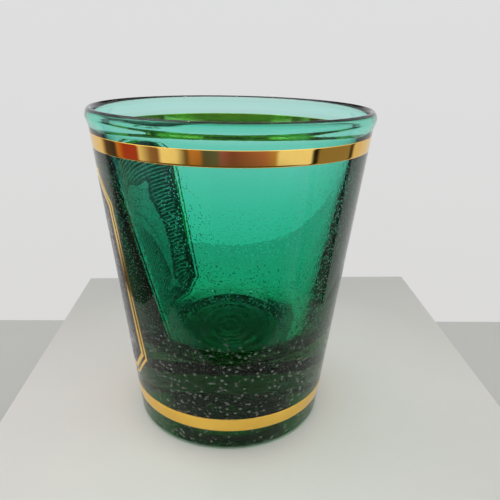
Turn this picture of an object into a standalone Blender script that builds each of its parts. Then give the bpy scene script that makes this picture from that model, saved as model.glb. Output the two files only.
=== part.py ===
"""Thick-based shot glass with gilt bands and a framed enamel panel.

Metres, +Z up. The origin is the centre of the foot on the resting plane, and
+Z is the axis of the cup. The front of the glass faces -Y, and the printed
panel is wrapped round its -X side.

The printed layers are a few thousandths of a millimetre thick on a real glass.
Here each one is a thin solid that floats a film gap off the wall, so that it
is a piece of its own.
"""
from math import cos, pi, radians, sin, sqrt

import bmesh
import bpy
from mathutils import Vector

COLLECTION = "shot_glass"

# Outside of the glass
HEIGHT = 0.0600
RIM_RADIUS = 0.0255
WALL_BASE_RADIUS = 0.0183       # the outer cone carried down to the resting plane
WALL_SLOPE = 0.1176             # growth of the outer radius per metre of height
FOOT_ROUND = 0.0012             # radius of the rounded foot edge
BEAD_LOW = 0.0567               # height where the lip bead leaves the cone
BEAD_MID = 0.0586               # height of the bead's widest ring

# Inside of the glass
CAVITY_LIP_RADIUS = 0.0240      # inner radius at BEAD_MID
CAVITY_SLOPE = 0.2480           # growth of the inner radius per metre of height
FLOOR_HEIGHT = 0.0155
FLOOR_ROUND = 0.0075            # radius of the rounded floor corner

# Underside: a flat resting ring round a shallow dish
DISH_RADIUS = 0.0120
DISH_DEPTH = 0.0006

# Printed layers
FILM_GAP = 0.0003
FILM = 0.00025
UPPER_BAND = (0.0536, 0.0561)   # low and high edge of each gilt band
LOWER_BAND = (0.0045, 0.0072)

# The panel, laid out flat: x is the arc length round the wall, y the height
PANEL_AZIMUTH = 100.0           # degrees from -Y towards -X, at the panel's middle
PANEL_HALF_WIDTH = 0.0182
PANEL_LOW = 0.0107
PANEL_HIGH = 0.0503
PANEL_CORNER = 0.0052           # leg of each cut corner
OUTER_LINE = 0.00045            # widths of the two gilt frame lines
INNER_LINE = 0.00075
LINE_SPACING = 0.00055          # clear glass between the two lines
SEAM = 0.0003                   # gap between neighbouring prints

# Leaping dolphin: a body thickened round an arc, with a back fin and a flipper
BODY_ARC_CENTRE = (-0.0085, 0.0225)
BODY_ARC_RADIUS = 0.0165
NOSE_ANGLE = 107.0              # degrees round the arc
BROW_ANGLE = 102.0
TAIL_ANGLE = -12.0
BODY_HALF_WIDTH = 0.0042
TAIL_HALF_WIDTH = 0.0007
BODY_STATIONS = 12
BACK_FIN_STATION = 6
BACK_FIN_HEIGHT = 0.0036
FLIPPER_STATION = 4
FLIPPER_HEIGHT = 0.0029
FLUKE_REACH = 0.0042

# Engraved strokes left open in the ink: (left end, right end, height)
STROKE_WIDTH = 0.0006
SKY_STROKES = (
    (-0.0020, 0.0120, 0.0455),
    (0.0100, 0.0142, 0.0430),
    (0.0100, 0.0146, 0.0405),
    (0.0100, 0.0146, 0.0380),
)
SHADE_STROKES = (
    (-0.0146, -0.0080, 0.0290),
    (-0.0146, -0.0030, 0.0265),
    (-0.0146, 0.0000, 0.0240),
    (-0.0146, 0.0010, 0.0215),
)
WAVE_STROKES = (
    (-0.0140, 0.0000, 0.0190),
    (-0.0125, 0.0005, 0.0168),
    (-0.0105, 0.0010, 0.0146),
)
WAVE_HEIGHT = 0.0004
WAVE_LENGTH = 0.0060

# Facets
TURN_STEPS = 64
BAND_STEPS = 64
ARC_POINTS = 5
STRIP_ARC = 0.0022              # width of the strips that let a flat print bend
STRIP_HEIGHT = 0.0090
MERGE = 0.00005


def clear_scene():
    for obj in list(bpy.data.objects):
        bpy.data.objects.remove(obj, do_unlink=True)
    for collection in list(bpy.data.collections):
        bpy.data.collections.remove(collection)


def make_collection(name):
    collection = bpy.data.collections.new(name)
    bpy.context.scene.collection.children.link(collection)
    return collection


def make_material(name, colour, roughness, metallic=0.0, transmission=0.0):
    material = bpy.data.materials.new(name)
    material.use_nodes = True
    shader = material.node_tree.nodes["Principled BSDF"]
    shader.inputs["Base Color"].default_value = (*colour, 1.0)
    shader.inputs["Roughness"].default_value = roughness
    shader.inputs["Metallic"].default_value = metallic
    shader.inputs["Transmission Weight"].default_value = transmission
    shader.inputs["IOR"].default_value = 1.52
    material.diffuse_color = (*colour, 1.0)
    return material


def glass_material(name):
    return make_material(name, (0.03, 0.55, 0.36), 0.03, transmission=1.0)


def gilt_material(name):
    return make_material(name, (0.83, 0.60, 0.22), 0.12, metallic=1.0)


def ink_material(name):
    return make_material(name, (0.02, 0.025, 0.03), 0.35)


def silver_material(name):
    return make_material(name, (0.70, 0.70, 0.74), 0.30, metallic=0.6)


def wall_radius(height):
    """Radius of the outer cone."""
    return WALL_BASE_RADIUS + WALL_SLOPE * height


def cavity_radius(height):
    """Radius of the inner cone."""
    return CAVITY_LIP_RADIUS - CAVITY_SLOPE * (BEAD_MID - height)


def arc(centre, radii, start, end, points):
    """Points on an ellipse arc, both ends included, angles in degrees."""
    result = []
    for i in range(points + 1):
        angle = radians(start + (end - start) * i / points)
        result.append((centre[0] + radii[0] * cos(angle), centre[1] + radii[1] * sin(angle)))
    return result


def glass_profile():
    """Half section, from the floor's centre over the lip to the underside's centre."""
    corner = FLOOR_HEIGHT + FLOOR_ROUND
    corner_radius = cavity_radius(corner) - FLOOR_ROUND * sqrt(1 + CAVITY_SLOPE ** 2)
    points = [(0.0, FLOOR_HEIGHT), (corner_radius * 0.5, FLOOR_HEIGHT)]
    points += arc((corner_radius, corner), (FLOOR_ROUND, FLOOR_ROUND), -90, -14, ARC_POINTS)
    for height in (0.030, 0.042):
        points.append((cavity_radius(height), height))

    lip_centre = (RIM_RADIUS + CAVITY_LIP_RADIUS) / 2
    lip_half = (RIM_RADIUS - CAVITY_LIP_RADIUS) / 2
    crown = HEIGHT - BEAD_MID
    points += arc((lip_centre, BEAD_MID), (lip_half, crown), 180, 0, 2 * ARC_POINTS)

    bulge = RIM_RADIUS - wall_radius(BEAD_MID)
    for part in (0.5, 0.0):
        height = BEAD_LOW + (BEAD_MID - BEAD_LOW) * part
        points.append((wall_radius(height) + bulge * part, height))
    for height in (0.040, 0.020):
        points.append((wall_radius(height), height))

    foot_radius = wall_radius(FOOT_ROUND) - FOOT_ROUND
    points += arc((foot_radius, FOOT_ROUND), (FOOT_ROUND, FOOT_ROUND), 0, -90, ARC_POINTS)
    points.append((DISH_RADIUS, 0.0))
    points.append((DISH_RADIUS * 0.6, DISH_DEPTH * 0.64))
    points.append((0.0, DISH_DEPTH))
    return points


def turn(name, points, closed, steps, collection, material):
    """Turn a profile of (radius, height) points round +Z."""
    mesh = bpy.data.meshes.new(name)
    count = len(points)
    edges = [(i, i + 1) for i in range(count - 1)]
    if closed:
        edges.append((count - 1, 0))
    mesh.from_pydata([(x, 0.0, z) for x, z in points], edges, [])
    obj = bpy.data.objects.new(name, mesh)
    collection.objects.link(obj)
    screw = obj.modifiers.new("turn", "SCREW")
    screw.axis = "Z"
    screw.angle = 2 * pi
    screw.steps = steps
    screw.render_steps = steps
    screw.use_merge_vertices = True
    screw.merge_threshold = MERGE
    screw.use_smooth_shade = True
    mesh.materials.append(material)
    return obj


def band_profile(low, high):
    """Closed section of a gilt band that lies along the wall."""
    inside = FILM_GAP
    outside = FILM_GAP + FILM
    return [
        (wall_radius(high) + inside, high),
        (wall_radius(high) + outside, high),
        (wall_radius(low) + outside, low),
        (wall_radius(low) + inside, low),
    ]


def octagon(inset):
    """The panel's outline with its corners cut, moved in by inset on every side."""
    half = PANEL_HALF_WIDTH - inset
    low = PANEL_LOW + inset
    high = PANEL_HIGH - inset
    leg = PANEL_CORNER - inset * (2 - 2 ** 0.5)
    return [
        (half - leg, low), (half, low + leg), (half, high - leg), (half - leg, high),
        (leg - half, high), (-half, high - leg), (-half, low + leg), (leg - half, low),
    ]


def on_body_arc(angle, side=0.0):
    """A point beside the dolphin's centre line, side metres outside it."""
    radius = BODY_ARC_RADIUS + side
    return (BODY_ARC_CENTRE[0] + radius * cos(angle), BODY_ARC_CENTRE[1] + radius * sin(angle))


def body_half_width(t, spread):
    """Half the body's thickness at t, 0 at the brow and 1 at the root of the tail."""
    swell = BODY_HALF_WIDTH * max(sin(pi * t ** 0.75), 0.0) ** 0.8
    return max(swell, TAIL_HALF_WIDTH) + spread


def tail_flukes(spread):
    """Right tip, notch and left tip of the tail."""
    angle = radians(TAIL_ANGLE)
    onward = Vector((sin(angle), -cos(angle)))
    across = Vector((cos(angle), sin(angle)))
    root = Vector(on_body_arc(angle))
    reach = FLUKE_REACH + spread
    tip = root + onward * reach * 0.9
    notch = root + onward * reach * 0.55
    span = across * reach * 0.85
    return [tuple(tip + span), tuple(notch), tuple(tip - span)]


def dolphin_outline(spread=0.0):
    """Closed outline, grown outwards by spread: nose, back, tail flukes and belly."""
    back = []
    belly = []
    for station in range(BODY_STATIONS + 1):
        t = station / BODY_STATIONS
        angle = radians(BROW_ANGLE + (TAIL_ANGLE - BROW_ANGLE) * t)
        half = body_half_width(t, spread)
        fin = BACK_FIN_HEIGHT if station == BACK_FIN_STATION else 0.0
        flipper = FLIPPER_HEIGHT if station == FLIPPER_STATION else 0.0
        back.append(on_body_arc(angle, half + fin))
        belly.append(on_body_arc(angle, -half - flipper))
    nose = on_body_arc(radians(NOSE_ANGLE) + spread / BODY_ARC_RADIUS)
    return [nose] + back + tail_flukes(spread) + belly[::-1]


def stroke_outline(left, right, height, wave=0.0, spread=0.0):
    """A straight or wavy stroke with square ends."""
    count = max(1, round((right - left) / WAVE_LENGTH * 4)) if wave else 1
    half = STROKE_WIDTH / 2 + spread
    top = []
    bottom = []
    for i in range(count + 1):
        x = left - spread + (right - left + 2 * spread) * i / count
        rise = wave * sin(2 * pi * (x - left) / WAVE_LENGTH)
        top.append((x, height + rise + half))
        bottom.append((x, height + rise - half))
    return top + bottom[::-1]


def flat_print(name, outlines):
    """A flat plate in the panel's plane, its first outline solid and the rest cut out."""
    curve = bpy.data.curves.new(name, "CURVE")
    curve.dimensions = "2D"
    curve.fill_mode = "BOTH"
    curve.extrude = FILM / 2
    for outline in outlines:
        spline = curve.splines.new("POLY")
        spline.points.add(len(outline) - 1)
        spline.use_cyclic_u = True
        for point, (x, y) in zip(spline.points, outline):
            point.co = (x, y, 0.0, 1.0)
    guide = bpy.data.objects.new(name + "_flat", curve)
    bpy.context.scene.collection.objects.link(guide)
    bpy.context.view_layer.update()
    evaluated = guide.evaluated_get(bpy.context.evaluated_depsgraph_get())
    mesh = bpy.data.meshes.new_from_object(evaluated)
    bpy.data.objects.remove(guide, do_unlink=True)
    bpy.data.curves.remove(curve)
    return mesh


def cut_into_strips(shape, normal, low, high, step):
    """Cut the plate across so that it can bend round the wall."""
    count = int((high - low) / step) + 1
    for i in range(1, count):
        place = low + (high - low) * i / count
        geometry = shape.verts[:] + shape.edges[:] + shape.faces[:]
        bmesh.ops.bisect_plane(shape, geom=geometry, dist=MERGE / 10,
                               plane_co=Vector(normal) * place, plane_no=normal)


def wrap(point):
    """Carry a point of the flat plate onto the wall, which mirrors the plate."""
    azimuth = radians(PANEL_AZIMUTH) + point.x / wall_radius(point.y)
    radius = wall_radius(point.y) + FILM_GAP + FILM / 2 + point.z
    return Vector((-radius * sin(azimuth), -radius * cos(azimuth), point.y))


def printed_piece(name, outlines, collection, material):
    """A print wrapped round the wall, as a solid of its own."""
    mesh = flat_print(name, outlines)
    mesh.name = name
    shape = bmesh.new()
    shape.from_mesh(mesh)
    bmesh.ops.remove_doubles(shape, verts=shape.verts, dist=MERGE / 10)
    xs = [v.co.x for v in shape.verts]
    ys = [v.co.y for v in shape.verts]
    cut_into_strips(shape, (1, 0, 0), min(xs), max(xs), STRIP_ARC)
    cut_into_strips(shape, (0, 1, 0), min(ys), max(ys), STRIP_HEIGHT)
    bmesh.ops.triangulate(shape, faces=shape.faces)
    bmesh.ops.recalc_face_normals(shape, faces=shape.faces)
    for vert in shape.verts:
        vert.co = wrap(vert.co)
    bmesh.ops.reverse_faces(shape, faces=shape.faces)
    shape.to_mesh(mesh)
    shape.free()
    mesh.materials.clear()
    mesh.materials.append(material)
    obj = bpy.data.objects.new(name, mesh)
    collection.objects.link(obj)
    return obj


def add_frame_lines(collection):
    first = OUTER_LINE + LINE_SPACING
    printed_piece("frame_outer_line", [octagon(0.0), octagon(OUTER_LINE)],
                  collection, gilt_material("gilt_outer_line"))
    printed_piece("frame_inner_line", [octagon(first), octagon(first + INNER_LINE)],
                  collection, gilt_material("gilt_inner_line"))


def all_strokes():
    """Every stroke's name, ends, height and wave."""
    for family, strokes, wave in (("sky_stroke", SKY_STROKES, 0.0),
                                  ("shade_stroke", SHADE_STROKES, 0.0),
                                  ("wave_stroke", WAVE_STROKES, WAVE_HEIGHT)):
        for number, (left, right, height) in enumerate(strokes, 1):
            yield f"{family}_{number}", left, right, height, wave


def add_ink_and_drawing(collection):
    inset = OUTER_LINE + LINE_SPACING + INNER_LINE + SEAM
    outlines = [octagon(inset), dolphin_outline(SEAM)]
    for name, left, right, height, wave in all_strokes():
        outlines.append(stroke_outline(left, right, height, wave, SEAM))
        printed_piece(name, [stroke_outline(left, right, height, wave)],
                      collection, silver_material(name))
    printed_piece("ink_field", outlines, collection, ink_material("ink_field"))
    printed_piece("dolphin", [dolphin_outline()], collection, silver_material("dolphin"))


def main():
    clear_scene()
    collection = make_collection(COLLECTION)
    turn("glass_body", glass_profile(), False, TURN_STEPS, collection,
         glass_material("glass_body"))
    turn("upper_gold_band", band_profile(*UPPER_BAND), True, BAND_STEPS, collection,
         gilt_material("gilt_upper_band"))
    turn("lower_gold_band", band_profile(*LOWER_BAND), True, BAND_STEPS, collection,
         gilt_material("gilt_lower_band"))
    add_frame_lines(collection)
    add_ink_and_drawing(collection)


main()
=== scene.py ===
"""Looks of the green shot glass: tinted glass, fired gilding and enamel print.

Metres, +Z up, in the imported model's frame: the foot's centre is the origin, the
camera side is -Y and the printed panel is wrapped round the -X side.
"""
from math import atan, cos, pi, radians, sin, sqrt

import bmesh
import bpy
from mathutils import Matrix, Vector


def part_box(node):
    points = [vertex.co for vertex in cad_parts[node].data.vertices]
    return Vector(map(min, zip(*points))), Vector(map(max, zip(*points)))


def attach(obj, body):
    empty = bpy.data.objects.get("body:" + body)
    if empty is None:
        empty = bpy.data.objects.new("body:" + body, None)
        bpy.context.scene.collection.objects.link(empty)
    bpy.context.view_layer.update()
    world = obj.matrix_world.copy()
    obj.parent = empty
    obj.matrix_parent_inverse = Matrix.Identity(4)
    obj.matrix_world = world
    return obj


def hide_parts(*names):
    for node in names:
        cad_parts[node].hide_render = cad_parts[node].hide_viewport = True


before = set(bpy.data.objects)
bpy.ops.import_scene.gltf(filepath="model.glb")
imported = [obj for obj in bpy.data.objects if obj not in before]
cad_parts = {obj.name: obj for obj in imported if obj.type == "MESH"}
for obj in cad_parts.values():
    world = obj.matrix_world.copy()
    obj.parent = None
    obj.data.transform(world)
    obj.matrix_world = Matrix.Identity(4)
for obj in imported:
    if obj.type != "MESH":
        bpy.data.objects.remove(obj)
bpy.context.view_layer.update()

MM = 0.001

# The glass, as the CAD has it
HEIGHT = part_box("glass_body")[1].z
RIM_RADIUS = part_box("glass_body")[1].x
WALL_BASE_RADIUS = 18.3 * MM
WALL_SLOPE = 0.1176
FOOT_ROUND = 1.2 * MM
BEAD_LOW = 56.7 * MM
BEAD_MID = 58.6 * MM
CAVITY_LIP_RADIUS = 24.0 * MM
CAVITY_SLOPE = 0.248
FLOOR_HEIGHT = 15.5 * MM
FLOOR_ROUND = 7.5 * MM
RING_PITCH = 2.1 * MM
RING_HEIGHT = 0.16 * MM
RING_REACH = 13.0 * MM
DISH_RADIUS = 12.0 * MM
DISH_DEPTH = 0.6 * MM
TURN_STEPS = 256

# Prints: how far each one bites into the glass and stands proud of it
FILM_IN = 0.020 * MM
FILM_OUT = 0.030 * MM
DRAWING_IN = 0.035 * MM
DRAWING_OUT = 0.045 * MM
STRIP_ARC = 1.1 * MM
STRIP_HEIGHT = 8.0 * MM

# The panel, laid out flat: x is the arc length round the wall, y the height
PANEL_AZIMUTH = 100.0
PANEL_HALF_WIDTH = 18.2 * MM
PANEL_LOW = 10.7 * MM
PANEL_HIGH = 50.3 * MM
PANEL_CORNER = 5.2 * MM
OUTER_LINE = 0.45 * MM
INNER_LINE = 0.75 * MM
LINE_SPACING = 0.55 * MM

# Leaping dolphin: a body thickened round an arc, with a back fin and a flipper
BODY_ARC_CENTRE = (-8.5 * MM, 22.5 * MM)
BODY_ARC_RADIUS = 16.5 * MM
NOSE_ANGLE = 107.0
BROW_ANGLE = 102.0
TAIL_ANGLE = -12.0
BODY_HALF_WIDTH = 4.2 * MM
TAIL_HALF_WIDTH = 0.7 * MM
BODY_STATIONS = 48
FIN_CENTRE = 0.47
FIN_SPREAD = 0.075
BACK_FIN_HEIGHT = 3.6 * MM
FLIPPER_CENTRE = 0.32
FLIPPER_HEIGHT = 2.9 * MM
FLUKE_REACH = 4.2 * MM
EYE_PLACE = 0.13
EYE_RADIUS = 0.42 * MM

# Engraved shading round the dolphin
SHADE_PITCH = 0.80 * MM
SHADE_WIDTH = 0.34 * MM
SHADE_MARGIN = 0.55 * MM

# Glass: its outer skin lies outside a cone half way through the wall
GLASS_IOR = 1.52
GLASS_TINT = (0.07, 0.876, 0.728, 1.0)
GLASS_DENSITY = 420.0
GLASS_GLOSS = 0.36
# Painted shade: an extra tint inside the heel that darkens the glass's base
HEEL_SHADE_COLOUR = (0.167, 0.708, 0.667, 1.0)
HEEL_SHADE_DENSITY = 120.0
MID_WALL_RADIUS = 13.9 * MM
MID_WALL_SLOPE = 0.183
DIMPLE_SCALE = 2200.0
DIMPLE_HEIGHT = 0.6
PIT_SCALE = 1000.0
PIT_HEIGHT = 3.6
PIT_FROST = 0.17
SKIN_RELIEF = 0.07 * MM

# Gold and enamel
GOLD_THICK = (1.0, 0.62, 0.12, 1.0)
GOLD_THIN = (0.90, 0.54, 0.10, 1.0)
INK_DARK = (0.010, 0.011, 0.014, 1.0)
INK_WORN = (0.040, 0.038, 0.045, 1.0)
SILVER_THICK = (0.93, 0.93, 0.96, 1.0)
SILVER_THIN = (0.84, 0.85, 0.89, 1.0)
SILVER_CLEARNESS = 0.55
SILVER_IOR = 1.45
PRINT_RELIEF = 0.01 * MM

# Camera
CAMERA_DISTANCE = 100.45 * MM
CAMERA_HEIGHT = 68.76 * MM
CAMERA_PITCH = 0.3455
CAMERA_YAW = 0.0373
CAMERA_ROLL = 0.0210
LENS_MM = 39.23
SENSOR_MM = 36.0

# The pale board that the glass stands on
BOARD_LEFT = -45.0 * MM
BOARD_RIGHT = 57.0 * MM
BOARD_BACK = 64.4 * MM
BOARD_SKEW = 3.2 * MM
BOARD_FRONT = -40.0 * MM
BOARD_THICK = 12.0 * MM
AIR_GAP = 0.03 * MM

# The lower table behind and beside the board
TABLE_DROP = 60.0 * MM
TABLE_BACK = 150.0 * MM
TABLE_SIDE = 150.0 * MM


# ---------------------------------------------------------------- shape helpers

def wall_radius(height):
    """The outer wall's radius at a height."""
    return WALL_BASE_RADIUS + WALL_SLOPE * height


def cavity_radius(height):
    """The cup's radius at a height."""
    return CAVITY_LIP_RADIUS - CAVITY_SLOPE * (BEAD_MID - height)


def arc(centre, radii, start, end, points):
    """Points on an ellipse arc, both ends included, angles in degrees."""
    result = []
    for i in range(points + 1):
        angle = radians(start + (end - start) * i / points)
        result.append((centre[0] + radii[0] * cos(angle), centre[1] + radii[1] * sin(angle)))
    return result


def between(first, last, count):
    """Points strictly between two ends."""
    return [
        (first[0] + (last[0] - first[0]) * i / count, first[1] + (last[1] - first[1]) * i / count)
        for i in range(1, count)
    ]


def floor_points():
    """The cup's floor and rounded corner, with the faint rings that the plunger leaves."""
    slant = sqrt(1 + CAVITY_SLOPE ** 2)
    corner_radius = cavity_radius(FLOOR_HEIGHT + FLOOR_ROUND) - FLOOR_ROUND * slant
    lean = atan(CAVITY_SLOPE)
    points = []
    for i in range(48):
        radius = corner_radius * i / 48
        points.append((radius, FLOOR_HEIGHT + floor_ring(radius)))
    for i in range(61):
        angle = (pi / 2 - lean) * i / 60
        reach = FLOOR_ROUND - floor_ring(corner_radius + FLOOR_ROUND * angle)
        points.append((corner_radius + reach * sin(angle),
                       FLOOR_HEIGHT + FLOOR_ROUND - reach * cos(angle)))
    return points


def floor_ring(distance):
    """Height of the plunger's rings at a distance from the floor's centre."""
    fade = max(0.0, 1 - distance / RING_REACH)
    return RING_HEIGHT * min(1.0, 3 * fade) * (1 - cos(2 * pi * distance / RING_PITCH)) / 2


def glass_profile():
    """Half section, from the floor's centre over the lip to the underside's centre."""
    points = floor_points()

    lip_centre = (RIM_RADIUS + CAVITY_LIP_RADIUS) / 2
    lip_half = (RIM_RADIUS - CAVITY_LIP_RADIUS) / 2
    lip = arc((lip_centre, BEAD_MID), (lip_half, HEIGHT - BEAD_MID), 180, 0, 32)
    points += between(points[-1], lip[0], 30)
    points += lip

    bulge = RIM_RADIUS - wall_radius(BEAD_MID)
    for i in range(1, 13):
        part = 1 - i / 12
        height = BEAD_LOW + (BEAD_MID - BEAD_LOW) * part
        points.append((wall_radius(height) + bulge * (3 - 2 * part) * part * part, height))

    foot_radius = wall_radius(FOOT_ROUND) - FOOT_ROUND
    foot = arc((foot_radius, FOOT_ROUND), (FOOT_ROUND, FOOT_ROUND), 0, -90, 12)
    points += between(points[-1], foot[0], 40)
    points += foot
    points += between(foot[-1], (DISH_RADIUS, 0.0), 6)
    for i in range(25):
        part = 1 - i / 24
        points.append((DISH_RADIUS * part, DISH_DEPTH * (1 + cos(pi * part)) / 2))
    return points


def turned(name, points, closed):
    """A smooth solid turned round +Z from (radius, height) points."""
    mesh = bpy.data.meshes.new(name)
    count = len(points)
    edges = [(i, i + 1) for i in range(count - 1)]
    if closed:
        edges.append((count - 1, 0))
    mesh.from_pydata([(x, 0.0, z) for x, z in points], edges, [])
    obj = bpy.data.objects.new(name, mesh)
    bpy.context.scene.collection.objects.link(obj)
    screw = obj.modifiers.new("turn", "SCREW")
    screw.axis = "Z"
    screw.angle = 2 * pi
    screw.steps = TURN_STEPS
    screw.render_steps = TURN_STEPS
    screw.use_merge_vertices = True
    screw.merge_threshold = 0.00001
    screw.use_smooth_shade = True
    return obj


def octagon(inset):
    """The panel's outline with its corners cut, moved in by inset on every side."""
    half = PANEL_HALF_WIDTH - inset
    low = PANEL_LOW + inset
    high = PANEL_HIGH - inset
    leg = PANEL_CORNER - inset * (2 - sqrt(2))
    return [
        (half - leg, low), (half, low + leg), (half, high - leg), (half - leg, high),
        (leg - half, high), (-half, high - leg), (-half, low + leg), (leg - half, low),
    ]


def inside(outline, x, y):
    """Whether a point lies inside a closed outline."""
    hit = False
    for (x0, y0), (x1, y1) in zip(outline, outline[1:] + outline[:1]):
        if (y0 > y) != (y1 > y) and x < x0 + (x1 - x0) * (y - y0) / (y1 - y0):
            hit = not hit
    return hit


# ---------------------------------------------------------------- the drawing

def on_body_arc(angle, side=0.0):
    """A point beside the body's middle line; side is positive towards the back."""
    radius = BODY_ARC_RADIUS + side
    return (BODY_ARC_CENTRE[0] + radius * cos(angle), BODY_ARC_CENTRE[1] + radius * sin(angle))


def body_half_width(t, spread):
    """Half the body's width, from the brow at t 0 to the tail at t 1."""
    swell = BODY_HALF_WIDTH * max(sin(pi * t ** 0.75), 0.0) ** 0.8
    return max(swell, TAIL_HALF_WIDTH) + spread


def fin(t, centre, height):
    """A swept fin: a slow rise towards its tip and a quick fall behind it."""
    along = (t - centre) / FIN_SPREAD
    if -1.6 < along <= 0:
        return height * (1 + along / 1.6) ** 1.6
    if 0 < along < 0.45:
        return height * (1 - along / 0.45) ** 0.8
    return 0.0


def tail_flukes(spread):
    """The tail, from its right root over two swept tips to its left root."""
    angle = radians(TAIL_ANGLE)
    onward = Vector((sin(angle), -cos(angle)))
    across = Vector((cos(angle), sin(angle)))
    root = Vector(on_body_arc(angle))
    reach = FLUKE_REACH + spread
    points = []
    for side in (1, -1):
        half = []
        for i in range(9):
            part = i / 8
            lead = onward * reach * (0.15 + 0.75 * part ** 1.6)
            half.append(root + lead + across * side * (TAIL_HALF_WIDTH + reach * 0.8 * part ** 0.8))
        for i in range(1, 7):
            part = 1 - i / 7
            trail = onward * reach * (0.55 + 0.35 * part ** 0.7)
            half.append(root + trail + across * side * reach * 0.96 * part)
        points += half if side == 1 else half[::-1]
    return [tuple(p) for p in points]


def dolphin_outline(spread=0.0):
    """Closed outline, grown outwards by spread: nose, back, tail flukes and belly."""
    back = []
    belly = []
    for station in range(BODY_STATIONS + 1):
        t = station / BODY_STATIONS
        angle = radians(BROW_ANGLE + (TAIL_ANGLE - BROW_ANGLE) * t)
        half = body_half_width(t, spread)
        back.append(on_body_arc(angle, half + fin(t, FIN_CENTRE, BACK_FIN_HEIGHT)))
        belly.append(on_body_arc(angle, -half - fin(t, FLIPPER_CENTRE, FLIPPER_HEIGHT)))
    nose = on_body_arc(radians(NOSE_ANGLE) + spread / BODY_ARC_RADIUS)
    return [nose] + back + tail_flukes(spread) + belly[::-1]


def eye_outline():
    """A small disc near the nose."""
    angle = radians(BROW_ANGLE + (TAIL_ANGLE - BROW_ANGLE) * EYE_PLACE)
    centre = on_body_arc(angle, 0.9 * MM)
    return arc(centre, (EYE_RADIUS, EYE_RADIUS), 0, 330, 11)


def flank_outline():
    """A thin crescent along the side, where the dark back meets the pale belly."""
    upper = []
    lower = []
    for i in range(25):
        t = 0.16 + 0.66 * i / 24
        angle = radians(BROW_ANGLE + (TAIL_ANGLE - BROW_ANGLE) * t)
        swell = sin(pi * i / 24)
        side = -body_half_width(t, 0.0) * 0.38
        upper.append(on_body_arc(angle, side + 0.05 * MM + 0.16 * MM * swell))
        lower.append(on_body_arc(angle, side - 0.05 * MM - 0.16 * MM * swell))
    return upper + lower[::-1]


def shading_height(x, row):
    """Height of an engraved line: level in the sky, rolling in the sea."""
    base = PANEL_LOW + row * SHADE_PITCH
    sea = max(0.0, min(1.0, (21.0 * MM - base) / (4.0 * MM)))
    roll = 0.42 * MM * sea * sin(2 * pi * x / (7.0 * MM) + row * 0.9)
    tilt = (1 - sea) * (0.055 * x - 1.6 * x * x)
    return base + roll + tilt


def shading_runs():
    """Runs of points for engraved lines, wherever the field is clear of the dolphin."""
    field = octagon(OUTER_LINE + LINE_SPACING + INNER_LINE + SHADE_MARGIN * 1.6)
    dolphin = dolphin_outline(SHADE_MARGIN)
    step = 0.55 * MM
    half_count = int(PANEL_HALF_WIDTH / step)
    runs = []
    for row in range(3, 50):
        run = []
        for i in range(-half_count, half_count + 2):
            x = (i + row % 3 / 3) * step
            y = shading_height(x, row)
            if inside(field, x, y) and not inside(dolphin, x, y) and i <= half_count:
                run.append((x, y))
                continue
            if len(run) > 4:
                runs.append(run)
            run = []
    return runs


def tapered(run, width):
    """A stroke along the run, full in the middle and fine at both ends."""
    top = []
    bottom = []
    for i, (x, y) in enumerate(run):
        part = i / (len(run) - 1)
        half = width / 2 * (0.25 + 0.75 * min(1.0, 4 * part, 4 * (1 - part)))
        top.append((x, y + half))
        bottom.append((x, y - half))
    return top + bottom[::-1]


# ---------------------------------------------------------------- prints on the wall

def flat_plate(name, outlines, thickness):
    """A flat plate in the panel's plane; an outline inside another one is a hole."""
    curve = bpy.data.curves.new(name, "CURVE")
    curve.dimensions = "2D"
    curve.fill_mode = "BOTH"
    curve.extrude = thickness / 2
    for outline in outlines:
        spline = curve.splines.new("POLY")
        spline.points.add(len(outline) - 1)
        spline.use_cyclic_u = True
        for point, (x, y) in zip(spline.points, outline):
            point.co = (x, y, 0.0, 1.0)
    guide = bpy.data.objects.new(name + "_flat", curve)
    bpy.context.scene.collection.objects.link(guide)
    bpy.context.view_layer.update()
    evaluated = guide.evaluated_get(bpy.context.evaluated_depsgraph_get())
    mesh = bpy.data.meshes.new_from_object(evaluated)
    bpy.data.objects.remove(guide, do_unlink=True)
    bpy.data.curves.remove(curve)
    return mesh


def cut_into_strips(shape, normal, low, high, step):
    """Cut the plate across so that it can bend round the wall."""
    count = int((high - low) / step) + 1
    for i in range(1, count):
        place = low + (high - low) * i / count
        geometry = shape.verts[:] + shape.edges[:] + shape.faces[:]
        bmesh.ops.bisect_plane(shape, geom=geometry, dist=1e-7,
                               plane_co=Vector(normal) * place, plane_no=normal)


def printed(name, outlines, film_in, film_out):
    """A print wrapped round the wall, biting film_in into the glass."""
    mesh = flat_plate(name, outlines, film_in + film_out)
    mesh.name = name
    shape = bmesh.new()
    shape.from_mesh(mesh)
    bmesh.ops.remove_doubles(shape, verts=shape.verts, dist=1e-6)
    # The flat fill leaves slivers of no area between windows that stand close together
    bmesh.ops.dissolve_degenerate(shape, edges=shape.edges, dist=1e-6)
    crowded = [face for face in shape.faces if all(len(e.link_faces) > 2 for e in face.edges)]
    bmesh.ops.delete(shape, geom=crowded, context="FACES_ONLY")
    xs = [v.co.x for v in shape.verts]
    ys = [v.co.y for v in shape.verts]
    cut_into_strips(shape, (1, 0, 0), min(xs), max(xs), STRIP_ARC)
    cut_into_strips(shape, (0, 1, 0), min(ys), max(ys), STRIP_HEIGHT)
    bmesh.ops.triangulate(shape, faces=shape.faces)
    bmesh.ops.recalc_face_normals(shape, faces=shape.faces)
    middle = (film_out - film_in) / 2
    for vert in shape.verts:
        azimuth = radians(PANEL_AZIMUTH) + vert.co.x / wall_radius(vert.co.y)
        radius = wall_radius(vert.co.y) + middle + vert.co.z
        vert.co = Vector((-radius * sin(azimuth), -radius * cos(azimuth), vert.co.y))
    bmesh.ops.reverse_faces(shape, faces=shape.faces)
    shape.to_mesh(mesh)
    shape.free()
    obj = bpy.data.objects.new(name, mesh)
    bpy.context.scene.collection.objects.link(obj)
    return obj


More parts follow.
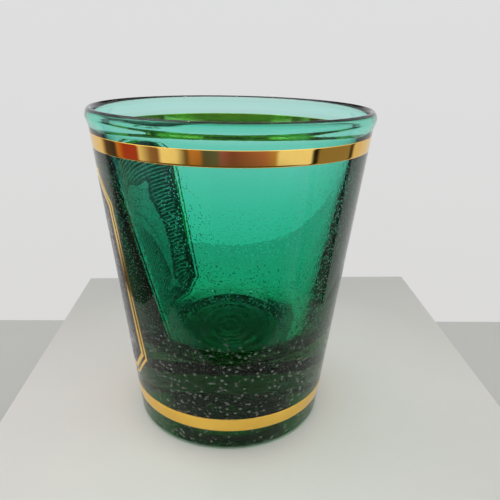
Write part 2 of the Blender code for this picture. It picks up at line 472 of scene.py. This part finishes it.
def band(name, node):
    """A gilt band between its CAD node's low and high edge, feathered at both edges."""
    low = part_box(node)[0].z
    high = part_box(node)[1].z
    rows = 24
    outer = []
    inner = []
    for i in range(rows + 1):
        height = high + (low - high) * i / rows
        edge = min(i, rows - i) / 2
        lift = FILM_OUT * (0.3 + 0.7 * min(1.0, edge))
        outer.append((wall_radius(height) + lift, height))
        inner.append((wall_radius(height) - FILM_IN, height))
    return turned(name, outer + inner[::-1], True)


# ---------------------------------------------------------------- materials

class Nodes:
    """Short names for building a material's node tree."""

    def __init__(self, tree):
        self.tree = tree

    def add(self, kind, **inputs):
        node = self.tree.nodes.new(kind)
        for key, value in inputs.items():
            self.set(node, key.replace("_", " "), value)
        return node

    def set(self, node, key, value):
        if isinstance(value, bpy.types.NodeSocket):
            self.tree.links.new(value, node.inputs[key])
        else:
            node.inputs[key].default_value = value

    def noise(self, vector, scale, detail=2.0, rough=0.5):
        node = self.add("ShaderNodeTexNoise", Vector=vector, Scale=scale, Detail=detail,
                        Roughness=rough)
        return node.outputs["Fac"]

    def span(self, value, low, high, to_low, to_high):
        node = self.add("ShaderNodeMapRange", Value=value, From_Min=low, From_Max=high,
                        To_Min=to_low, To_Max=to_high)
        return node.outputs["Result"]

    def math(self, operation, first, second=0.0):
        node = self.tree.nodes.new("ShaderNodeMath")
        node.operation = operation
        self.set(node, 0, first)
        self.set(node, 1, second)
        return node.outputs[0]

    def mix(self, factor, first, second):
        node = self.tree.nodes.new("ShaderNodeMix")
        node.data_type = "RGBA"
        self.set(node, 0, factor)
        self.set(node, 6, first)
        self.set(node, 7, second)
        return node.outputs[2]

    def length(self, vector):
        node = self.tree.nodes.new("ShaderNodeVectorMath")
        node.operation = "LENGTH"
        self.set(node, 0, vector)
        return node.outputs["Value"]

    def ramp(self, factor, tones):
        """Colours by azimuth: factor 0 is -180 degrees and factor 1 is 180 degrees."""
        node = self.tree.nodes.new("ShaderNodeValToRGB")
        set_ramp(node.color_ramp, tones)
        self.set(node, "Fac", factor)
        return node.outputs["Color"]

    def bump(self, height, strength, distance):
        node = self.add("ShaderNodeBump", Height=height, Strength=strength, Distance=distance)
        return node.outputs["Normal"]


def new_material(name):
    material = bpy.data.materials.new(name)
    material.use_nodes = True
    tree = material.node_tree
    shader = tree.nodes["Principled BSDF"]
    nodes = Nodes(tree)
    place = tree.nodes.new("ShaderNodeTexCoord").outputs["Object"]
    return material, nodes, shader, place


def tint_through(material, colour, density):
    """Colour that deepens with the way light goes through the body."""
    tree = material.node_tree
    volume = tree.nodes.new("ShaderNodeVolumeAbsorption")
    volume.inputs["Color"].default_value = colour
    volume.inputs["Density"].default_value = density
    tree.links.new(volume.outputs["Volume"], tree.nodes["Material Output"].inputs["Volume"])


def glass_material():
    """Emerald glass, tinted through its body, with a fine pimpled skin."""
    material, nodes, shader, place = new_material("emerald_glass")
    shader.inputs["Base Color"].default_value = (1.0, 1.0, 1.0, 1.0)
    shader.inputs["IOR"].default_value = GLASS_IOR
    shader.inputs["Specular Tint"].default_value = (GLASS_GLOSS, GLASS_GLOSS, GLASS_GLOSS, 1.0)

    split = nodes.add("ShaderNodeSeparateXYZ", Vector=place)
    height = split.outputs["Z"]
    level = nodes.add("ShaderNodeCombineXYZ", X=split.outputs["X"], Y=split.outputs["Y"])
    middle = nodes.math("ADD", nodes.math("MULTIPLY", height, MID_WALL_SLOPE), MID_WALL_RADIUS)
    outside = nodes.math("GREATER_THAN", nodes.length(level.outputs["Vector"]), middle)

    # Fine dimples fade out towards the lip
    cells = nodes.add("ShaderNodeTexVoronoi", Vector=place, Scale=DIMPLE_SCALE)
    dimple = nodes.span(cells.outputs["Distance"], 0.0, 0.32, 1.0, 0.0)
    lower = nodes.span(height, 56.0 * MM, 46.0 * MM, 0.05, 1.0)
    dimple = nodes.math("MULTIPLY", dimple, nodes.math("MULTIPLY", lower, DIMPLE_HEIGHT))

    # Larger frosted pits round the heel only
    pits = nodes.add("ShaderNodeTexVoronoi", Vector=place, Scale=PIT_SCALE)
    heel = nodes.span(height, 27.0 * MM, 17.0 * MM, 0.0, 1.0)
    pit = nodes.span(pits.outputs["Distance"], 0.0, 0.30, PIT_HEIGHT, 0.0)
    dimple = nodes.math("ADD", dimple, nodes.math("MULTIPLY", pit, heel))
    frost = nodes.span(pits.outputs["Distance"], 0.10, 0.34, PIT_FROST, 0.0)
    frost = nodes.math("MULTIPLY", frost, nodes.math("MULTIPLY", heel, outside))
    nodes.set(shader, "Transmission Weight", nodes.math("SUBTRACT", 1.0, frost))

    # Slow waves, stronger where the glass is thick
    waves = nodes.noise(place, 420.0, 2.0)
    waves = nodes.math("MULTIPLY", waves, nodes.span(height, 30.0 * MM, 14.0 * MM, 0.2, 0.5))
    relief = nodes.math("MULTIPLY", nodes.math("ADD", dimple, waves), outside)
    nodes.set(shader, "Normal", nodes.bump(relief, 1.0, SKIN_RELIEF))
    haze = nodes.noise(place, 320.0, 3.0)
    nodes.set(shader, "Roughness", nodes.span(haze, 0.3, 0.8, 0.0, 0.03))
    tint_through(material, GLASS_TINT, GLASS_DENSITY)
    return material


def heel_shade_material():
    """Painted shade: a deeper tint that darkens the thick heel; it does not bend light at its edge.
    """
    material, nodes, shader, place = new_material("heel_painted_shade")
    clouds = nodes.noise(place, 150.0, 2.0)
    nodes.set(shader, "Base Color", nodes.mix(clouds, (1.0, 1.0, 1.0, 1.0),
                                              (0.97, 1.0, 0.98, 1.0)))
    shader.inputs["Transmission Weight"].default_value = 1.0
    shader.inputs["Roughness"].default_value = 0.0
    shader.inputs["IOR"].default_value = 1.0
    tint_through(material, HEEL_SHADE_COLOUR, HEEL_SHADE_DENSITY)
    return material


def gilt_material(name, seed):
    """Bright fired gold with faint brush drag and thin patches."""
    material, nodes, shader, place = new_material(name)
    shift = nodes.add("ShaderNodeMapping", Vector=place, Location=(seed, seed * 0.7, 0.0))
    place = shift.outputs["Vector"]
    patches = nodes.noise(place, 120.0, 4.0, 0.6)
    tone = nodes.mix(nodes.span(patches, 0.35, 0.7, 0.0, 1.0),
                     GOLD_THICK, GOLD_THIN)
    nodes.set(shader, "Base Color", tone)
    shader.inputs["Metallic"].default_value = 1.0
    grain = nodes.noise(place, 900.0, 2.0)
    nodes.set(shader, "Roughness", nodes.span(grain, 0.3, 0.7, 0.03, 0.07))
    drag = nodes.add("ShaderNodeMapping", Vector=place, Scale=(1.0, 1.0, 14.0))
    ridges = nodes.noise(drag.outputs["Vector"], 260.0, 2.0)
    nodes.set(shader, "Normal", nodes.bump(ridges, 0.06, PRINT_RELIEF))
    return material


def ink_material():
    """Near-black fired enamel with a slight orange peel."""
    material, nodes, shader, place = new_material("dark_enamel")
    mottling = nodes.noise(place, 200.0, 4.0, 0.65)
    nodes.set(shader, "Base Color", nodes.mix(mottling, INK_DARK, INK_WORN))
    peel = nodes.noise(place, 700.0, 3.0)
    nodes.set(shader, "Roughness", nodes.span(peel, 0.3, 0.7, 0.18, 0.40))
    nodes.set(shader, "Normal", nodes.bump(peel, 0.2, PRINT_RELIEF))
    return material


def silver_material():
    """Silvery lilac enamel, dusty where the print is thin."""
    material, nodes, shader, place = new_material("silver_enamel")
    dust = nodes.noise(place, 350.0, 5.0, 0.7)
    thin = nodes.span(dust, 0.35, 0.65, 0.0, 1.0)
    nodes.set(shader, "Base Color", nodes.mix(thin, SILVER_THICK, SILVER_THIN))
    shader.inputs["Transmission Weight"].default_value = SILVER_CLEARNESS
    shader.inputs["IOR"].default_value = SILVER_IOR
    peel = nodes.noise(place, 900.0, 3.0)
    nodes.set(shader, "Roughness", nodes.span(peel, 0.3, 0.7, 0.25, 0.45))
    nodes.set(shader, "Normal", nodes.bump(peel, 0.2, PRINT_RELIEF))
    return material


def board_material():
    """Pale matt board, with a painted shadow of the glass that greys it behind the glass and
    painted shade that greys it away from the glass.
    """
    material, nodes, shader, place = new_material("pale_board")
    grain = nodes.noise(place, 60.0, 5.0, 0.6)
    split = nodes.add("ShaderNodeSeparateXYZ", Vector=place)
    front = nodes.mix(grain, (0.71, 0.685, 0.65, 1.0), (0.68, 0.655, 0.62, 1.0))
    # Painted shadow of the glass: a darker tone behind it, blended in along +Y
    back = nodes.mix(grain, (0.54, 0.54, 0.51, 1.0), (0.52, 0.52, 0.49, 1.0))
    painted_shadow_behind = nodes.span(split.outputs["Y"], 0.0, 60.0 * MM, 0.0, 1.0)
    # Painted shade: the board darkens with distance from the glass's foot to even out the light
    painted_shade_far = nodes.span(nodes.length(place), 24.0 * MM, 62.0 * MM, 0.03, 0.24)
    tone = nodes.mix(painted_shadow_behind, front, back)
    nodes.set(shader, "Base Color", nodes.mix(painted_shade_far, tone, (0.0, 0.0, 0.0, 1.0)))
    shader.inputs["Roughness"].default_value = 0.55
    return material


# ---------------------------------------------------------------- pieces

def finish_piece(obj, nodes, material):
    obj.data.materials.clear()
    obj.data.materials.append(material)
    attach(obj, "root")
    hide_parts(*nodes)


def build_glass():
    glass = turned("tinted_glass", glass_profile(), False)
    finish_piece(glass, ["glass_body"], glass_material())


def build_heel_shade():
    """A soft-shouldered body of painted shade, a deeper tint wholly inside the solid heel."""
    low = DISH_DEPTH + 0.5 * MM
    high = FLOOR_HEIGHT - 0.7 * MM
    points = [(0.0, high)]
    points += arc((8.0 * MM, high - 3.0 * MM), (9.5 * MM, 3.0 * MM), 90, 0, 24)
    points += arc((8.0 * MM, low + 4.0 * MM), (9.0 * MM, 4.0 * MM), 0, -90, 24)
    points.append((0.0, low))
    heel = turned("heel_painted_shade", points, False)
    finish_piece(heel, ["glass_body"], heel_shade_material())


def build_gilding():
    for number, (name, node) in enumerate((("gilt_rim_band", "upper_gold_band"),
                                           ("gilt_foot_band", "lower_gold_band"))):
        finish_piece(band(name, node), [node], gilt_material(name, number * 0.31))
    second = OUTER_LINE + LINE_SPACING
    outer = printed("gilt_thin_line", [octagon(0.0), octagon(OUTER_LINE)], FILM_IN, FILM_OUT)
    finish_piece(outer, ["frame_outer_line"], gilt_material("gilt_thin_line", 0.9))
    inner = printed("gilt_broad_line", [octagon(second), octagon(second + INNER_LINE)],
                    FILM_IN, FILM_OUT)
    finish_piece(inner, ["frame_inner_line"], gilt_material("gilt_broad_line", 1.3))


def build_enamel():
    silver = silver_material()
    shades = shading_runs()
    windows = [tapered(run, SHADE_WIDTH - 0.06 * MM) for run in shades]
    windows += [dolphin_outline(-0.03 * MM), eye_outline(), flank_outline()]
    windows.append(octagon(OUTER_LINE + LINE_SPACING + INNER_LINE))
    field = printed("enamel_field", windows, FILM_IN, FILM_OUT)
    finish_piece(field, ["ink_field"], ink_material())
    dolphin = printed("enamel_dolphin", [dolphin_outline(), eye_outline(), flank_outline()],
                      DRAWING_IN, DRAWING_OUT)
    finish_piece(dolphin, ["dolphin"], silver)
    strokes = [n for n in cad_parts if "_stroke_" in n]
    shading = printed("enamel_shading", [tapered(run, SHADE_WIDTH) for run in shades],
                      DRAWING_IN, DRAWING_OUT)
    finish_piece(shading, strokes, silver)


# ---------------------------------------------------------------- stage, light, camera

def slab(name, left, right, front, back, skew, top, bottom, material):
    shape = bmesh.new()
    bmesh.ops.create_cube(shape, size=1.0)
    for vert in shape.verts:
        vert.co.x = right if vert.co.x > 0 else left
        vert.co.y = back if vert.co.y > 0 else front
        vert.co.z = top if vert.co.z > 0 else bottom
        if vert.co.y > 0:
            vert.co.y += skew / 2 if vert.co.x > 0 else -skew / 2
    mesh = bpy.data.meshes.new(name)
    shape.to_mesh(mesh)
    shape.free()
    obj = bpy.data.objects.new(name, mesh)
    bpy.context.scene.collection.objects.link(obj)
    obj.data.materials.append(material)
    bevel = obj.modifiers.new("edge", "BEVEL")
    bevel.width = 0.4 * MM
    bevel.segments = 3


def build_stage():
    """The board under the glass and a lower table behind it."""
    pale = board_material()
    slab("board", BOARD_LEFT, BOARD_RIGHT, BOARD_FRONT, BOARD_BACK, BOARD_SKEW,
         -AIR_GAP, -BOARD_THICK, pale)
    slab("table", -TABLE_SIDE, TABLE_SIDE, BOARD_FRONT, TABLE_BACK, 0.0, -TABLE_DROP,
         -TABLE_DROP - BOARD_THICK, pale)


def area_light(name, place, target, size, power, colour=(1.0, 1.0, 1.0)):
    light = bpy.data.lights.new(name, "AREA")
    light.shape = "DISK"
    light.size = size
    light.energy = power
    light.color = colour
    obj = bpy.data.objects.new(name, light)
    bpy.context.scene.collection.objects.link(obj)
    obj.location = place
    obj.rotation_euler = (Vector(target) - Vector(place)).to_track_quat("-Z", "Y").to_euler()
    return obj


def ceiling_spots():
    """Three small lamps that only show as pin-point glints."""
    for number, x in enumerate((-0.25, 0.0, 0.25)):
        lamp = area_light(f"glint_{number}", (x, 0.15, 0.90), (0, 0, 0), 0.05, 1.6)
        lamp.visible_diffuse = False
        lamp.visible_camera = False


def build_world():
    """A pale room, with the darker and warmer tones low in front that the gold mirrors."""
    world = bpy.data.worlds.new("studio")
    bpy.context.scene.world = world
    world.use_nodes = True
    tree = world.node_tree
    nodes = Nodes(tree)
    background = tree.nodes["Background"]
    way = tree.nodes.new("ShaderNodeTexCoord").outputs["Generated"]
    split = nodes.add("ShaderNodeSeparateXYZ", Vector=way)
    x, y, z = (split.outputs[k] for k in "XYZ")
    # 0 straight behind (+Y) on the left, 0.5 in front (-Y), 1 behind again on the right
    turn = nodes.math("ARCTAN2", x, nodes.math("MULTIPLY", y, -1.0))
    around = nodes.span(turn, -pi, pi, 0.0, 1.0)

    low = nodes.ramp(around, LOW_TONES)
    high = nodes.ramp(around, HIGH_TONES)
    upper = nodes.ramp(around, UPPER_TONES)

    # From the floor up, each mix lays the next layer of the room over the last one
    blend = nodes.mix(nodes.span(z, -0.12, -0.06, 0.0, 1.0), low, high)
    middle = nodes.mix(nodes.span(y, -0.4, 0.4, 0.0, 1.0), (0.45, 0.45, 0.45, 1.0),
                       (0.74, 0.74, 0.76, 1.0))
    blend = nodes.mix(nodes.span(z, 0.10, 0.18, 0.0, 1.0), blend, middle)
    blend = nodes.mix(nodes.span(z, 0.30, 0.38, 0.0, 1.0), blend, upper)
    top = nodes.mix(nodes.span(z, 0.72, 0.82, 0.0, 1.0), blend, (1.5, 1.5, 1.5, 1.0))
    front = nodes.span(y, -0.55, -0.25, 1.0, 0.0)
    left = nodes.span(x, -0.45, -0.25, 1.0, 0.0)
    shaded = nodes.math("MAXIMUM", front, left)
    under = nodes.math("MULTIPLY", shaded, nodes.span(z, -0.45, -0.38, 1.0, 0.0))
    top = nodes.mix(under, top, (0.10, 0.09, 0.08, 1.0))
    seen = tree.nodes.new("ShaderNodeLightPath").outputs["Is Camera Ray"]
    backdrop = nodes.mix(nodes.span(z, -0.5, 0.3, 0.0, 1.0), (0.705, 0.70, 0.69, 1.0),
                         (0.75, 0.75, 0.765, 1.0))
    nodes.set(background, "Color", nodes.mix(seen, top, backdrop))
    background.inputs["Strength"].default_value = 1.0


# (azimuth in degrees from the front towards +X, colour): below the horizon, just above it,
# and higher up
LOW_TONES = (
    (-180, (0.72, 0.72, 0.73)),
    (-126, (0.72, 0.70, 0.68)),
    (-118, (0.10, 0.08, 0.09)),
    (-105, (0.04, 0.04, 0.08)),
    (-101, (0.50, 0.24, 0.10)),
    (-94, (0.32, 0.06, 0.07)),
    (-80, (0.32, 0.06, 0.07)),
    (-77, (0.70, 0.74, 0.95)),
    (-67, (0.24, 0.18, 0.20)),
    (-60, (0.22, 0.13, 0.18)),
    (-57, (0.86, 0.95, 1.25)),
    (-44, (0.82, 0.91, 1.20)),
    (-36, (0.10, 0.09, 0.08)),
    (-32, (0.50, 0.28, 0.18)),
    (-25, (0.44, 0.24, 0.16)),
    (-22, (0.07, 0.12, 0.20)),
    (-11, (0.10, 0.16, 0.30)),
    (-8, (0.30, 0.13, 0.36)),
    (1, (0.20, 0.08, 0.16)),
    (27, (0.40, 0.20, 0.26)),
    (35, (0.45, 0.33, 0.22)),
    (38, (0.86, 0.97, 1.35)),
    (66, (0.86, 0.97, 1.35)),
    (68, (0.02, 0.02, 0.03)),
    (72, (0.02, 0.02, 0.03)),
    (74, (0.26, 0.24, 0.21)),
    (108, (0.28, 0.26, 0.23)),
    (110, (0.05, 0.05, 0.05)),
    (113, (0.05, 0.05, 0.05)),
    (116, (0.66, 0.65, 0.62)),
    (180, (0.72, 0.72, 0.73)),
)
HIGH_TONES = (
    (-180, (0.74, 0.74, 0.76)),
    (-110, (0.74, 0.74, 0.76)),
    (-80, (1.40, 1.40, 1.30)),
    (-40, (1.40, 1.40, 1.30)),
    (-34, (0.03, 0.03, 0.03)),
    (26, (0.03, 0.03, 0.03)),
    (30, (1.40, 1.40, 1.30)),
    (75, (1.40, 1.40, 1.30)),
    (110, (0.74, 0.74, 0.76)),
    (180, (0.74, 0.74, 0.76)),
)
UPPER_TONES = (
    (-180, (0.06, 0.06, 0.05)),
    (-152, (0.06, 0.06, 0.05)),
    (-148, (0.80, 0.80, 0.80)),
    (148, (0.80, 0.80, 0.80)),
    (152, (0.06, 0.06, 0.05)),
    (180, (0.06, 0.06, 0.05)),
)


def set_ramp(ramp, tones):
    while len(ramp.elements) > 1:
        ramp.elements.remove(ramp.elements[-1])
    for number, (azimuth, colour) in enumerate(tones):
        place = azimuth / 360 + 0.5
        element = ramp.elements[0] if number == 0 else ramp.elements.new(place)
        element.position = place
        element.color = (*colour, 1.0)


def build_camera():
    camera = bpy.data.cameras.new("camera")
    camera.sensor_width = SENSOR_MM
    camera.lens = LENS_MM
    camera.clip_start = 0.005
    obj = bpy.data.objects.new("camera", camera)
    bpy.context.scene.collection.objects.link(obj)
    forward = Vector((sin(CAMERA_YAW) * cos(CAMERA_PITCH), cos(CAMERA_YAW) * cos(CAMERA_PITCH),
                      -sin(CAMERA_PITCH)))
    level = Vector((cos(CAMERA_YAW), -sin(CAMERA_YAW), 0.0))
    upright = level.cross(forward)
    right = level * cos(CAMERA_ROLL) + upright * sin(CAMERA_ROLL)
    up = upright * cos(CAMERA_ROLL) - level * sin(CAMERA_ROLL)
    turn = Matrix((right, up, -forward)).transposed()
    obj.matrix_world = Matrix.Translation((0.0, -CAMERA_DISTANCE, CAMERA_HEIGHT)) @ turn.to_4x4()
    bpy.context.scene.camera = obj


def build_lights():
    area_light("key", (-0.35, 0.10, 0.60), (0, 0, 0.03), 0.50, 0.8)
    area_light("fill", (0.45, -0.20, 0.50), (0, 0, 0.03), 0.50, 0.4)
    ceiling_spots()


build_camera()
build_world()
build_lights()
build_stage()
build_glass()
build_heel_shade()
build_gilding()
build_enamel()

bpy.context.scene.view_settings.view_transform = "Standard"
